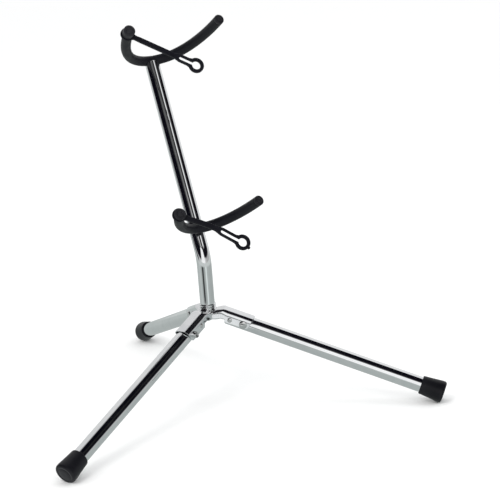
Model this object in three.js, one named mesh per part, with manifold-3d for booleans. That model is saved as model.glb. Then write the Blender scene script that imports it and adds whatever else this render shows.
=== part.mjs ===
// A folding stand that holds an alto or tenor saxophone on two padded yokes.
//
// Millimetres, +Z up. The stand faces -Y: the rear leg and the lean of the
// upright point to +Y, and both yokes open towards -Y. The origin is the
// middle of the underside of the whole object's box.

import * as THREE from 'three';
import { mergeVertices } from 'three/addons/utils/BufferGeometryUtils.js';
import Module from 'manifold-3d';

const wasm = await Module();
wasm.setup();
const { Manifold, Mesh: SolidMesh } = wasm;

const rad = THREE.MathUtils.degToRad;

// ---------------------------------------------------------------- dimensions

const gap = 0.3;                  // between pieces that touch

const legRadius = 12.7;           // one-inch tube for the legs
const uprightRadius = 12.2;       // a slightly thinner tube for the upright
const tubeWall = 1;
const legBore = legRadius - tubeWall;
const uprightBore = uprightRadius - tubeWall;

const hubHeight = 160.4;          // crossing point of the leg axes, above the floor
const hubTurn = -1.7;             // the hub's small turn about the upright, degrees
const frontSpread = 113;          // angle between the two front legs, degrees
const legSlope = rad(20.7);       // legs run down and out at this angle
const legReach = 411.8;           // crossing point to the end of a foot cap, along the leg
const pivotReach = 65;            // crossing point to a leg's rivet
const pivotRadius = 4;
const rivetTail = 6.5;            // how far a rivet's rolled tail stands off the cheek

const sheet = 1.2;                // pressed steel of the hub
const armEnd = 78;                // crossing point to the outer end of a hub arm
const armEndSlant = 5;            // the end leans back by this much from web to cheek edge
const armHalfWidth = legRadius + gap + sheet;
const armCorner = 9;              // outside corner radius of an arm's section
const rootCorner = 5;             // the same, close to the collar
const cheekDepth = 8;             // an arm's cheeks reach this far below its axis
const cheekStart = 33.5;          // the cheeks reach full depth from here outwards
const cheekRound = 4;
const armHollowStart = 20;
const stayReach = 41.5;           // crossing point to the small rivet that ties the cheeks
const stayRadius = 2.5;
const skirtRise = { height: 1.6, place: 26, reach: 7 };   // of its lower edge, inside each cheek
const webRim = [                  // the web's top, out and up from the crossing point
  [-1, 1.4], [14.5, 1.4], [17.5, 2.3], [20, 3], [23, 3.6], [26, 3.9], [29, 4],
];
const bossRadius = 15;
const bossTop = -1;
const bossBottom = -13;
const bossWeb = 3;

const collarRadius = 14;
const collarTop = 11.1;
const collarGroove = 0.9;
const boltRadius = 4;
const boltLength = 25;
const boltHeadRadius = 7.5;
const boltHeadHeight = 5.3;
const washerRadius = 8.5;
const washerThickness = 1.6;
const plugTop = 25;               // the steel plug in the foot of the upright

const bendHeight = 90.5;          // corner of the upright's bend, above the hub
const bendRadius = 69;
const lean = rad(29.3);           // the upright leans back from the vertical
const uprightTop = 347.2;         // end of the tube, along the lean from the corner

const capLength = 39.5;
const capMouthRadius = 15.2;
const capEndRadius = 18;
const capEndRound = 4;
const capDepth = 34.5;

const coverRadius = 8.3;
const saddleGap = 0.5;            // between the upper yoke's cover and the tube's notch
const rodRadius = 4;
const rodHole = rodRadius + gap;
const screwRadius = 2;
const screwHole = screwRadius + gap;
const studRadius = 4;
const studHeadRadius = 9.6;
const tubePlugLength = 34;
const screwLength = 38;
const screwHeadRadius = 4.5;
const screwHeadHeight = 3;
const screwSink = 4.3;            // the upper yoke's screw sits this deep in its cover
const smallWasherRadius = 5.5;
const curvedWasherRadius = 6.5;
const thinWasher = 1;
const catchHeight = 3.6;

const upperYoke = {
  along: 351.4, forward: 0, halfWidth: 77.3, depth: 148.6,
  baseHandle: 51.5, armHandle: 64.6, flare: rad(4.2), studHead: 12.5,
};
const lowerYoke = {
  along: 44.5, forward: 20.5, halfWidth: 67.5, depth: 111.2,
  baseHandle: 34, armHandle: 58.8, flare: rad(9.4), studHead: 4.5,
};

const strapThickness = 4.5;
const strapEyeRadius = 11.3;
const strapWidth = 8.5;
const loopRadius = 12.8;
const loopHole = 7.2;
const slotWidth = 5.2;
const slotBandWidth = 13.4;
const pullTabRadius = 2.2;
const upperStrap = {
  length: 121.3, slotStart: 91, swing: rad(-34.1), bow: 0, pullTab: false,
};
const lowerStrap = {
  length: 110, slotStart: 71, swing: rad(-33.9), bow: 3.8, pullTab: true,
};

// ----------------------------------------------------------------- materials

function material(color, roughness, metalness) {
  return new THREE.MeshStandardMaterial({ color, roughness, metalness });
}
const chrome = () => material(0xd6dadd, 0.1, 1);
const plated = () => material(0xb9bdc0, 0.25, 1);
const steel = () => material(0x8f9294, 0.4, 1);
const blackRubber = () => material(0x17181c, 0.6, 0);
const blackPlastic = () => material(0x1d1e22, 0.45, 0);

// -------------------------------------------------------------- solid helpers

function solid(geometry) {
  const bare = geometry.index ? geometry.toNonIndexed() : geometry.clone();
  bare.deleteAttribute('normal');
  bare.deleteAttribute('uv');
  const merged = mergeVertices(bare, 1e-4);
  return new Manifold(new SolidMesh({
    numProp: 3,
    vertProperties: new Float32Array(merged.attributes.position.array),
    triVerts: new Uint32Array(merged.index.array),
  }));
}

function geometryOf(body) {
  const mesh = body.getMesh();
  const geometry = new THREE.BufferGeometry();
  geometry.setAttribute('position', new THREE.BufferAttribute(mesh.vertProperties, 3));
  geometry.setIndex(new THREE.BufferAttribute(mesh.triVerts, 1));
  geometry.computeVertexNormals();
  return geometry;
}

// A cylinder from `start` to `end` along the x, y or z axis.
function cylinder(axis, radius, start, end, segments = 24) {
  const shape = new THREE.CylinderGeometry(radius, radius, end - start, segments);
  shape.translate(0, (start + end) / 2, 0);
  if (axis === 'x') shape.rotateZ(-Math.PI / 2);
  if (axis === 'z') shape.rotateX(Math.PI / 2);
  return solid(shape);
}

// A body turned about the z axis from [radius, height] pairs.
function turned(profile, segments = 28) {
  const points = profile.map(([r, z]) => new THREE.Vector2(r, z));
  const shape = new THREE.LatheGeometry(points, segments);
  shape.rotateX(Math.PI / 2);
  return solid(shape);
}

function arcPoints(cx, cy, radius, from, to, steps) {
  const points = [];
  for (let i = 0; i <= steps; i += 1) {
    const angle = from + (to - from) * i / steps;
    points.push([cx + radius * Math.cos(angle), cy + radius * Math.sin(angle)]);
  }
  return points;
}

function circleShape(radius, segments) {
  const ring = arcPoints(0, 0, radius, 0, 2 * Math.PI, segments).slice(0, -1);
  return new THREE.Shape(ring.map(([x, y]) => new THREE.Vector2(x, y)));
}

// A flat outline pushed from z = `low` to z = `high`.
function plate(outline, low, high) {
  const shape = new THREE.Shape(outline.map(([x, y]) => new THREE.Vector2(x, y)));
  const body = new THREE.ExtrudeGeometry(shape, { depth: high - low, bevelEnabled: false });
  body.translate(0, 0, low);
  return solid(body);
}

function sweep(curve, radius, segments, steps) {
  return solid(new THREE.ExtrudeGeometry(circleShape(radius, segments), {
    steps, extrudePath: curve, bevelEnabled: false,
  }));
}

// A skin over rings of equal length along x, with a flat, convex face at each end.
function loft(rings) {
  const count = rings[0].length;
  const last = (rings.length - 1) * count;
  const faces = [];
  for (let start = 0; start < last; start += count) {
    for (let j = 0; j < count; j += 1) {
      const a = start + j;
      const b = start + (j + 1) % count;
      faces.push(a, b, b + count, a, b + count, a + count);
    }
  }
  for (let j = 1; j + 1 < count; j += 1) {
    faces.push(0, j + 1, j, last, last + j, last + j + 1);
  }
  const geometry = new THREE.BufferGeometry();
  geometry.setAttribute('position', new THREE.Float32BufferAttribute(rings.flat(2), 3));
  geometry.setIndex(faces);
  return solid(geometry);
}

function moved(body, matrix) {
  return body.transform(matrix.elements);
}

// ------------------------------------------------------------ curves of the stand

// The upright's axis: straight, one bend, straight. The parameter gives each
// straight one step of `steps` and shares the others over the bend.
class UprightAxis extends THREE.Curve {
  constructor(bottom, steps) {
    super();
    const reach = bendRadius * Math.tan(lean / 2);
    this.bottom = bottom;
    this.bendStart = bendHeight - reach;
    this.upperStart = reach;
    this.edge = 1 / steps;
  }

  getPoint(t) {
    if (t < this.edge) {
      const z = this.bottom + (this.bendStart - this.bottom) * t / this.edge;
      return new THREE.Vector3(0, 0, z);
    }
    if (t <= 1 - this.edge) {
      const angle = lean * (t - this.edge) / (1 - 2 * this.edge);
      const y = bendRadius * (1 - Math.cos(angle));
      return new THREE.Vector3(0, y, this.bendStart + bendRadius * Math.sin(angle));
    }
    const along = this.upperStart
      + (uprightTop - this.upperStart) * (t - 1 + this.edge) / this.edge;
    return new THREE.Vector3(0, along * Math.sin(lean), bendHeight + along * Math.cos(lean));
  }

  getPointAt(u) {
    return this.getPoint(u);
  }

  getTangentAt(u) {
    return this.getTangent(u);
  }
}

// A yoke's centre line in the frame of the leaning tube, from its left tip
// round the base to its right tip. `trim` shortens both ends.
class YokeAxis extends THREE.Curve {
  constructor(yoke, from = -1, to = 1) {
    super();
    this.from = from;
    this.to = to;
    const { halfWidth, depth, flare, armHandle, baseHandle } = yoke;
    this.arm = new THREE.CubicBezierCurve(
      new THREE.Vector2(0, 0),
      new THREE.Vector2(baseHandle, 0),
      new THREE.Vector2(
        halfWidth - armHandle * Math.sin(flare), depth - armHandle * Math.cos(flare)),
      new THREE.Vector2(halfWidth, depth),
    );
    this.yoke = yoke;
  }

  getPoint(t) {
    const place = this.from + (this.to - this.from) * t;
    const point = this.arm.getPoint(Math.abs(place));
    return new THREE.Vector3(
      Math.sign(place) * point.x, -this.yoke.forward - point.y, this.yoke.along);
  }

  getPointAt(u) {
    return this.getPoint(u);
  }

  getTangentAt(u) {
    return this.getTangent(u);
  }
}

// The place on an arm, from 0 at the base to 1 at the tip, that lies `back`
// behind the tip.
function armPlace(yoke, back) {
  const arm = new YokeAxis(yoke).arm;
  let low = 0;
  let high = 1;
  for (let i = 0; i < 30; i += 1) {
    const middle = (low + high) / 2;
    if (arm.getPoint(middle).y < yoke.depth - back) low = middle;
    else high = middle;
  }
  return low;
}

// --------------------------------------------------------------- scene groups

const stand = new THREE.Group();
stand.name = 'saxophone_stand';

const hubGroup = new THREE.Group();            // origin on the crossing point
hubGroup.position.z = hubHeight;
stand.add(hubGroup);

const leanGroup = new THREE.Group();           // origin on the bend, z up the tube
leanGroup.position.z = bendHeight;
leanGroup.rotation.x = -lean;
hubGroup.add(leanGroup);
leanGroup.updateMatrix();

const legs = [
  { name: 'front_left', azimuth: rad(270 + hubTurn - frontSpread / 2) },
  { name: 'front_right', azimuth: rad(270 + hubTurn + frontSpread / 2) },
  { name: 'rear', azimuth: rad(90 + hubTurn), rivetTurn: 180 },
];
for (const leg of legs) {
  leg.group = new THREE.Group();               // x out along the leg
  leg.group.rotation.set(0, legSlope, leg.azimuth, 'ZYX');
  leg.group.updateMatrix();
  hubGroup.add(leg.group);
}

function add(group, name, body, finish) {
  const mesh = new THREE.Mesh(geometryOf(body), finish());
  mesh.name = name;
  group.add(mesh);
}

// ------------------------------------------------------------------------ hub

// An upside-down U, as [across, up] pairs.
function roundedArch(halfWidth, top, corner, bottom) {
  const inset = halfWidth - corner;
  return [
    [halfWidth, bottom],
    ...arcPoints(inset, top - corner, corner, 0, Math.PI / 2, 6),
    ...arcPoints(-inset, top - corner, corner, Math.PI / 2, Math.PI, 6),
    [-halfWidth, bottom],
  ];
}

// Height of an arm's web over the leg's axis: flat round the collar, then
// over a crest and down along the leg.
function webHeight(x) {
  const cos = Math.cos(legSlope);
  const sin = Math.sin(legSlope);
  const line = [
    ...webRim.map(([out, up]) => [out * cos - up * sin, out * sin + up * cos]),
    [34, armHalfWidth - 0.15], [40, armHalfWidth], [2 * armEnd, armHalfWidth],
  ];
  const next = line.findIndex(([reach]) => reach >= x);
  const [x0, z0] = line[next - 1];
  const [x1, z1] = line[next];
  return z0 + (z1 - z0) * (x - x0) / (x1 - x0);
}

// How far a circle's lower half stands above its lowest point, `off` its middle.
function roundRise(radius, off) {
  return radius - Math.sqrt(Math.max(radius ** 2 - off ** 2, 0));
}

// Height of the lower edge of an arm's cheeks over the leg's axis.
function cheekEdge(x) {
  const end = armEnd - armEndSlant;
  if (x <= cheekStart) {
    const level = (bossBottom + x * Math.sin(legSlope)) / Math.cos(legSlope);
    const near = Math.max(0, 1 - Math.abs(x - skirtRise.place) / skirtRise.reach);
    return level + skirtRise.height * near ** 2;
  }
  const inner = Math.max(0, cheekStart + cheekRound - x);
  const outer = Math.max(0, x - end + cheekRound);
  return roundRise(cheekRound, Math.max(inner, outer)) - cheekDepth;
}

// An arch drawn at each of `stations` along the leg's axis; `inset` is its
// distance inside the arm's outer face, and `lower` gives its lower edge.
function archLoft(stations, inset, lower, slant) {
  const height = armHalfWidth + cheekDepth;
  return loft(stations.map((x) => {
    const top = webHeight(x) - inset;
    const rounding = THREE.MathUtils.mapLinear(
      THREE.MathUtils.clamp(x, bossRadius, cheekStart), bossRadius, cheekStart, rootCorner, armCorner);
    const corner = Math.min(rounding - inset, top - lower(x) - 1);
    const lean = slant * Math.max(0, (x - cheekStart) / (armEnd - cheekStart));
    return roundedArch(armHalfWidth - inset, top, corner, lower(x))
      .map(([y, z]) => [x - lean * (armHalfWidth - z) / height, y, z]);
  }));
}

function armOutside() {
  const steps = [0, 1, 2, 3, 4].map(i => Math.sin(Math.PI * i / 8));
  const stations = [
    0, 13, 16, 18, 20.4, 23, 25.8, 29, cheekStart,
    ...steps.map(s => cheekStart + 0.01 + cheekRound * (1 - Math.cos(Math.asin(s)))),
    40, 50, 66,
    ...steps.map(s => armEnd - cheekRound * (1 - s)),
  ];
  const lower = x => cheekEdge(x < armEnd / 2 + 5 ? x : x - armEndSlant);
  return archLoft(stations, 0, lower, armEndSlant);
}

function armHollow() {
  const stations = [armHollowStart, 23, 25.8, 29, 34, 40, armEnd + 1];
  return archLoft(stations, sheet, () => -4 * cheekDepth, 0);
}

// A hole through both cheeks of an arm, `reach` out from the crossing point.
function cheekHole(radius, reach) {
  return cylinder('y', radius + gap, -3 * armHalfWidth, 3 * armHalfWidth, 12)
    .translate([reach, 0, 0]);
}

function hubSpider() {
  const boss = cylinder('z', bossRadius, bossBottom, bossTop, 28);
  const cup = cylinder('z', bossRadius - sheet, bossBottom - 1, bossTop - bossWeb, 28);
  const collarRoom = cylinder('z', collarRadius + gap, bossTop, 3 * collarTop, 28);
  let body = boss;
  for (const leg of legs) body = body.add(moved(armOutside(), leg.group.matrix));
  body = body.subtract(collarRoom).subtract(cup).subtract(boltHole());
  for (const leg of legs) {
    body = body.subtract(moved(armHollow(), leg.group.matrix));
    body = body.subtract(moved(cheekHole(pivotRadius, pivotReach), leg.group.matrix));
    body = body.subtract(moved(cheekHole(stayRadius, stayReach), leg.group.matrix));
  }
  return body;
}

function boltHole() {
  return cylinder('z', boltRadius + gap, 2 * bossBottom, 2 * plugTop, 14);
}

// A plated ring with two grooves round it.
function collar() {
  const bore = uprightRadius + gap;
  const low = bossTop + gap;
  const floor = collarRadius - collarGroove;
  const bevel = 0.6;
  const grooveWidth = 1;
  const profile = [[bore, low], [collarRadius, low]];
  for (const start of [low + 3.2, low + 7.6]) {
    profile.push(
      [collarRadius, start], [floor, start + bevel],
      [floor, start + bevel + grooveWidth], [collarRadius, start + 2 * bevel + grooveWidth]);
  }
  profile.push([collarRadius, collarTop], [bore, collarTop], [bore, low]);
  return turned(profile, 28);
}

const bossUnderside = bossTop - bossWeb;
const boltHeadTop = bossUnderside - 2 * gap - washerThickness;

function hubPlug() {
  return cylinder('z', uprightBore - gap, bossTop + gap, plugTop, 20).subtract(boltHole());
}

function hubWasher() {
  const top = bossUnderside - gap;
  return cylinder('z', washerRadius, top - washerThickness, top, 20).subtract(boltHole());
}

function hubBolt() {
  return cylinder('z', boltHeadRadius, boltHeadTop - boltHeadHeight, boltHeadTop, 6)
    .add(cylinder('z', boltRadius, boltHeadTop - 1, boltHeadTop + boltLength, 14));
}

add(hubGroup, 'hub_spider', hubSpider(), chrome);
add(hubGroup, 'upright_collar', collar(), chrome);
add(hubGroup, 'hub_plug', hubPlug(), steel);
add(hubGroup, 'hub_washer', hubWasher(), steel);
add(hubGroup, 'hub_bolt', hubBolt(), plated);

// -------------------------------------------------------------------- upright

function aroundLean(body) {
  return moved(body, leanGroup.matrix);
}

function yokeNotch() {
  return sweep(new YokeAxis(upperYoke, -0.3, 0.3), coverRadius + saddleGap, 16, 8);
}

function uprightTube() {
  const steps = 9;
  const section = circleShape(uprightRadius, 24);
  section.holes.push(new THREE.Path(circleShape(uprightBore, 16).getPoints().reverse()));
  const tube = solid(new THREE.ExtrudeGeometry(section, {
    steps, extrudePath: new UprightAxis(bossTop + gap, steps), bevelEnabled: false,
  }));
  const boltWay = cylinder('y', screwHole, -2 * uprightRadius, 2 * uprightRadius, 12)
    .translate([0, 0, lowerYoke.along]);
  return tube.subtract(aroundLean(yokeNotch())).subtract(aroundLean(boltWay));
}

function upperTubePlug() {
  const pilot = cylinder('z', screwHole, uprightTop - screwLength, uprightTop + 20, 12);
  return cylinder('z', uprightBore - gap, uprightTop - tubePlugLength, uprightTop - gap, 20)
    .subtract(yokeNotch()).subtract(pilot);
}

add(hubGroup, 'upright_tube', uprightTube(), chrome);
add(leanGroup, 'upper_tube_plug', upperTubePlug(), blackPlastic);

// ---------------------------------------------------------------------- yokes

const shankLength = 9;            // of each plastic button, inside its arm

// Places a body drawn on the z axis at a yoke's right tip, pointing out of it.
function catchPlace(yoke) {
  return new THREE.Matrix4()
    .makeTranslation(yoke.halfWidth, -yoke.forward - yoke.depth, yoke.along)
    .multiply(new THREE.Matrix4().makeRotationZ(yoke.flare))
    .multiply(new THREE.Matrix4().makeRotationX(Math.PI / 2));
}

// From a yoke's left tip back to the end of its cover.
function coverInset(yoke) {
  return yoke.studHead + strapThickness + 2 * gap;
}

// Places a body drawn on the z axis at a yoke's left tip, pointing forwards;
// z = 0 is the back of the stud's head.
function studPlace(yoke) {
  return new THREE.Matrix4()
    .makeTranslation(-yoke.halfWidth, -yoke.forward - yoke.depth + yoke.studHead, yoke.along)
    .multiply(new THREE.Matrix4().makeRotationX(Math.PI / 2));
}

function yokeCover(yoke) {
  const left = armPlace(yoke, coverInset(yoke) - 2);
  const outside = sweep(new YokeAxis(yoke, -left, 1), coverRadius, 12, 26);
  const bore = sweep(new YokeAxis(yoke, -0.95, 0.98), rodHole, 8, 32);
  const shankEnd = -strapThickness - 2 * gap - shankLength;
  const studBore = cylinder('z', studRadius + gap, shankEnd - 2, 20, 12);
  const studCut = cylinder('z', 3 * coverRadius, -strapThickness - 2 * gap, 60, 12);
  const catchBore = cylinder('z', studRadius + gap, -catchHeight - shankLength - 2, 20, 12);
  const catchCut = cylinder('z', 3 * coverRadius, -catchHeight, 40, 12);
  return outside.subtract(bore)
    .subtract(moved(studBore, studPlace(yoke))).subtract(moved(studCut, studPlace(yoke)))
    .subtract(moved(catchBore, catchPlace(yoke))).subtract(moved(catchCut, catchPlace(yoke)));
}

function yokeRod(yoke) {
  const left = armPlace(yoke, coverInset(yoke) + shankLength + 4);
  const right = armPlace(yoke, catchHeight + shankLength + 4);
  return sweep(new YokeAxis(yoke, -left, right), rodRadius, 8, 28);
}

// A low domed button: a head with a ring groove and a raised middle, on a
// shank that points down the z axis.
function button(headRadius, headHeight, shank) {
  const edge = 0.8;
  const grooveDepth = 0.7;
  const middle = headRadius * 0.5;
  const grooveEdge = headRadius * 0.68;
  return turned([
    [0, -shank], [studRadius, -shank], [studRadius, 0],
    [headRadius, 0], [headRadius, headHeight - edge], [headRadius - edge, headHeight],
    [grooveEdge, headHeight], [grooveEdge - 0.4, headHeight - grooveDepth],
    [middle + 0.4, headHeight - grooveDepth], [middle, headHeight],
    [middle * 0.8, headHeight + 0.9], [0, headHeight + 1.1],
  ], 18);
}

function strapStud(yoke) {
  const shank = strapThickness + 2 * gap + shankLength;
  return moved(button(studHeadRadius, yoke.studHead, shank), studPlace(yoke));
}

function catchButton(yoke) {
  const seat = catchPlace(yoke).multiply(
    new THREE.Matrix4().makeTranslation(0, 0, gap - catchHeight));
  return moved(button(coverRadius, catchHeight - gap, shankLength), seat);
}

// --------------------------------------------------------------------- straps

// How far a strap's centre line stands above the line from eye to loop.
function strapBow(strap, x) {
  if (x < 0 || x > strap.length) return 0;
  return strap.bow * Math.sin(Math.PI * x / strap.length) ** 2;
}

// Points along a strap from x = `from` to x = `to`, `y` off its centre line.
function strapRun(from, to, y) {
  const steps = 5;
  const points = [];
  for (let i = 0; i <= steps; i += 1) points.push([from + (to - from) * i / steps, y]);
  return points;
}

// A strap's outline round its eye and its loop, before it is bowed.
function strapOutline(strap) {
  const half = strapWidth / 2;
  const bandHalf = slotBandWidth / 2;
  const leave = Math.acos(half * 1.6 / strapEyeRadius);
  const join = Math.asin(bandHalf / loopRadius);
  const edge = [
    ...arcPoints(0, 0, strapEyeRadius, Math.PI, Math.PI / 2 - leave * 0.75, 9),
    [strapEyeRadius + 6, half * 1.24],
    ...strapRun(strapEyeRadius + 14, strap.slotStart - 9, half),
    [strap.slotStart - 5, half + 0.7],
    [strap.slotStart - 1, bandHalf - 0.6],
    ...strapRun(strap.slotStart + 3, strap.length - loopRadius - 3, bandHalf),
    ...arcPoints(strap.length, 0, loopRadius, Math.PI - join, 0, 9),
  ];
  const mirrored = edge.slice(1, -1).reverse().map(([x, y]) => [x, -y]);
  return [...edge, ...mirrored];
}

function strapBody(strap) {
  const low = -strapThickness / 2;
  const high = strapThickness / 2;
  const slotHalf = slotWidth / 2;
  const bowed = ([x, y]) => [x, y + strapBow(strap, x)];
  let body = plate(strapOutline(strap).reverse().map(bowed), low, high);
  if (strap.pullTab) {
    const tab = plate(arcPoints(0, 0, pullTabRadius, 0, 2 * Math.PI, 10).slice(0, -1), low, high)
      .translate([strap.length + loopRadius * 0.96, -loopRadius * 0.35, 0]);
    body = body.add(tab);
  }
  const slotEnd = strap.slotStart + slotHalf;
  const slot = plate([
    ...arcPoints(slotEnd, 0, slotHalf, Math.PI / 2, 1.5 * Math.PI, 6),
    ...strapRun(slotEnd, strap.length, -slotHalf).slice(1),
    ...strapRun(slotEnd, strap.length, slotHalf).slice(1).reverse(),
  ].map(bowed), low - 1, high + 1);
  return body.subtract(slot)
    .subtract(cylinder('z', loopHole, low - 1, high + 1, 18).translate([strap.length, 0, 0]))
    .subtract(cylinder('z', studRadius + gap, low - 1, high + 1, 14));
}

// Puts a strap drawn along x in the plane across its stud, turned to its swing.
function strapOnStud(yoke, strap) {
  const place = studPlace(yoke)
    .multiply(new THREE.Matrix4().makeTranslation(0, 0, -gap - strapThickness / 2))
    .multiply(new THREE.Matrix4().makeRotationZ(strap.swing));
  return moved(strapBody(strap), place);
}

// The upper yoke is screwed down on to the tube's plug.
function screwWay() {
  return cylinder('z', screwHole, upperYoke.along - 30, upperYoke.along + 30, 12);
}

// Room for the washer and the head of that screw, sunk into the yoke's cover.
const screwSeat = upperYoke.along + coverRadius - screwSink;
function screwPocket() {
  return cylinder('z', smallWasherRadius + gap, screwSeat, screwSeat + 3 * coverRadius);
}

// The lower yoke is bolted on from behind, through the tube.
function boltWay() {
  const blindEnd = -lowerYoke.forward - rodRadius / 2;
  return cylinder('y', screwHole, blindEnd, 40, 12).translate([0, 0, lowerYoke.along]);
}

function tubeSaddle() {
  return cylinder('z', uprightRadius + gap, -200, 200, 28);
}

const yokeSets = [
  {
    level: 'upper',
    yoke: upperYoke,
    strap: upperStrap,
    rod: yokeRod(upperYoke).subtract(screwWay()),
    cover: yokeCover(upperYoke).subtract(screwWay()).subtract(screwPocket()),
  },
  {
    level: 'lower',
    yoke: lowerYoke,
    strap: lowerStrap,
    rod: yokeRod(lowerYoke).subtract(boltWay()),
    cover: yokeCover(lowerYoke).subtract(tubeSaddle()).subtract(boltWay()),
  },
];
for (const { level, yoke, strap, rod, cover } of yokeSets) {
  add(leanGroup, `${level}_yoke_rod`, rod, steel);
  add(leanGroup, `${level}_yoke_cover`, cover, blackRubber);
  add(leanGroup, `${level}_strap_stud`, strapStud(yoke), blackPlastic);
  add(leanGroup, `${level}_catch_button`, catchButton(yoke), blackPlastic);
  add(leanGroup, `${level}_strap`, strapOnStud(yoke, strap), blackRubber);
}

// ------------------------------------------------------------ yoke fasteners

// A pan head on the z axis from z = 0 up, with its shank below it.
function panHeadScrew(length) {
  const r = screwHeadRadius;
  const h = screwHeadHeight;
  return turned([
    [0, -length], [screwRadius, -length], [screwRadius, 0],
    [r, 0], [r, h * 0.35], [r * 0.86, h * 0.75], [r * 0.55, h], [0, h],
  ], 16);
}

const upperWasher = cylinder('z', smallWasherRadius, screwSeat + gap, screwSeat + gap + thinWasher)
  .subtract(screwWay());
add(leanGroup, 'upper_yoke_washer', upperWasher, plated);
const upperScrew = panHeadScrew(screwLength).translate([0, 0, screwSeat + 2 * gap + thinWasher]);
add(leanGroup, 'upper_yoke_screw', upperScrew, plated);

// The lower yoke's washer is curved to the tube.
const washerCrest = uprightRadius + gap + thinWasher;
const lowerWasher = cylinder('y', curvedWasherRadius, 0, 30, 24)
  .intersect(cylinder('z', washerCrest, -10, 10, 36))
  .subtract(cylinder('z', uprightRadius + gap, -20, 20, 36))
  .translate([0, 0, lowerYoke.along])
  .subtract(boltWay());
add(leanGroup, 'lower_yoke_washer', lowerWasher, plated);
const backwards = new THREE.Matrix4()
  .makeTranslation(0, washerCrest + gap, lowerYoke.along)
  .multiply(new THREE.Matrix4().makeRotationX(-Math.PI / 2));
const lowerBolt = moved(panHeadScrew(washerCrest + gap + lowerYoke.forward), backwards);
add(leanGroup, 'lower_yoke_bolt', lowerBolt, plated);

// ----------------------------------------------------------------------- legs

// A leg tube's inner end is rounded like a barrel about its rivet, so that it
// can turn inside the hub arm; the barrel's axis is the rivet's.
function legEndKeep() {
  const middle = legRadius + 0.1;
  const side = 0.5 * legRadius;
  const bulge = middle - side;
  const arc = arcPoints(0, 0, 1, -Math.PI / 2, Math.PI / 2, 6)
    .map(([across, up]) => [side + bulge * across, legRadius * up]);
  const reach = legRadius + 1;
  const barrel = turned([[0, -reach], [side, -reach], ...arc, [side, reach], [0, reach]], 24)
    .rotate([90, 0, 0]).translate([pivotReach, 0, 0]);
  return barrel.add(cylinder('x', 2 * legRadius, pivotReach, 2 * legReach, 12));
}

function legTube() {
  const end = legReach - (capLength - capDepth) - gap;
  return cylinder('x', legRadius, pivotReach - legRadius - 1, end, 24)
    .subtract(cylinder('x', legBore, pivotReach - 2 * legRadius, end + 1, 16))
    .intersect(legEndKeep())
    .subtract(cheekHole(pivotRadius, pivotReach));
}

// A hollow rivet: a low domed head on one cheek, a rolled tail on the other.
function legRivet(turn = 0) {
  const face = armHalfWidth + gap;
  const tail = face + rivetTail;
  const bore = 2.4;
  return turned([
    [0, -face - 1.9], [3.5, -face - 1.7], [6, -face - 1.1], [6.8, -face - 0.5], [6.8, -face],
    [pivotRadius, -face], [pivotRadius, face], [5.4, face], [5.4, tail - 1],
    [4.6, tail], [3.6, tail], [bore, tail - 1.2], [bore, face - 6], [0, face - 6],
  ], 16).rotate([turn - 90, 0, 0]).translate([pivotReach, 0, 0]);
}

// A small solid rivet, domed on both cheeks.
function stayRivet() {
  const face = armHalfWidth + gap;
  const head = 4;
  return turned([
    [0, -face - 1.6], [head * 0.6, -face - 1.3], [head, -face - 0.4], [head, -face],
    [stayRadius, -face], [stayRadius, face],
    [head, face], [head, face + 0.4], [head * 0.6, face + 1.3], [0, face + 1.6],
  ], 14).rotate([-90, 0, 0]).translate([stayReach, 0, 0]);
}

function footCap(legMatrix) {
  const end = legReach;
  const mouth = end - capLength;
  const bore = legRadius + gap;
  const roundAt = capEndRadius - capEndRound;
  const cap = turned([
    [bore, mouth], [capMouthRadius - 0.6, mouth], [capMouthRadius, mouth + 0.8],
    [capEndRadius, end - capEndRound - 4],
    ...arcPoints(roundAt, end - capEndRound, capEndRound, 0, Math.PI / 2, 3),
    [0, end], [0, mouth + capDepth], [bore, mouth + capDepth], [bore, mouth],
  ], 24);
  const onLeg = moved(cap, new THREE.Matrix4().makeRotationY(Math.PI / 2));
  const floor = cylinder('z', 3 * legReach, -2 * hubHeight, -hubHeight, 4);
  return onLeg.subtract(moved(floor, legMatrix.clone().invert()));
}

for (const leg of legs) {
  add(leg.group, `leg_tube_${leg.name}`, legTube(), chrome);
  add(leg.group, `leg_rivet_${leg.name}`, legRivet(leg.rivetTurn), plated);
  add(leg.group, `arm_stay_${leg.name}`, stayRivet(), plated);
  add(leg.group, `foot_cap_${leg.name}`, footCap(leg.group.matrix), blackRubber);
}

// -------------------------------------------------------------------- placing

// The origin goes to the middle of the underside of the whole object's box.
const root = new THREE.Group();
root.add(stand);
root.updateMatrixWorld(true);
const box = new THREE.Box3().setFromObject(root, true);
stand.position.set(
  -(box.min.x + box.max.x) / 2, -(box.min.y + box.max.y) / 2, -box.min.z);
root.updateMatrixWorld(true);

export default root;
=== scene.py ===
import math

import bpy
from mathutils import Matrix, Vector


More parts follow.
